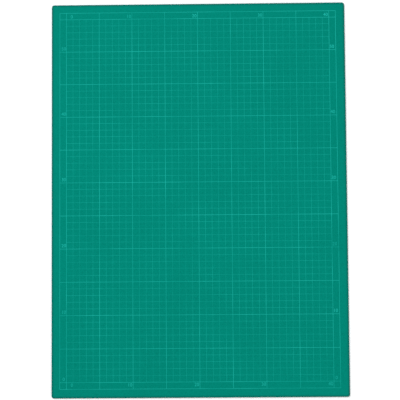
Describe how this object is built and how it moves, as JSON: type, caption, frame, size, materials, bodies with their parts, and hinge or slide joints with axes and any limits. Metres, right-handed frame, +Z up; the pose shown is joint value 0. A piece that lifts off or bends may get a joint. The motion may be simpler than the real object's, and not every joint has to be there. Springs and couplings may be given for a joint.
{
  "type": "self-healing cutting mat",
  "caption": "Large flat green cutting mat laminated from soft and stiff sheets, with rounded corners and a printed centimetre grid inside a frame line.",
  "frame": {"origin": "middle of the underside, which lies on the table", "axes": "+X across the mat, +Y along its long side towards the top of the printed scale, +Z up out of the table, from the underside to the printed face"},
  "size_m": [0.446, 0.596, 0.003],
  "materials": {
    "healing_pvc": "matte",
    "stiffening_film": "satin",
    "core_pvc": "matte",
    "print_ink": "satin"
  },
  "bodies": {
    "root": {"bottom_healing_sheet": "healing_pvc", "lower_stiffening_sheet": "stiffening_film", "core_sheet": "core_pvc", "upper_stiffening_sheet": "stiffening_film", "top_healing_sheet": "healing_pvc", "fine_grid_print": "print_ink", "heavy_grid_print": "print_ink", "frame_line_print": "print_ink"}
  },
  "joints": []
}
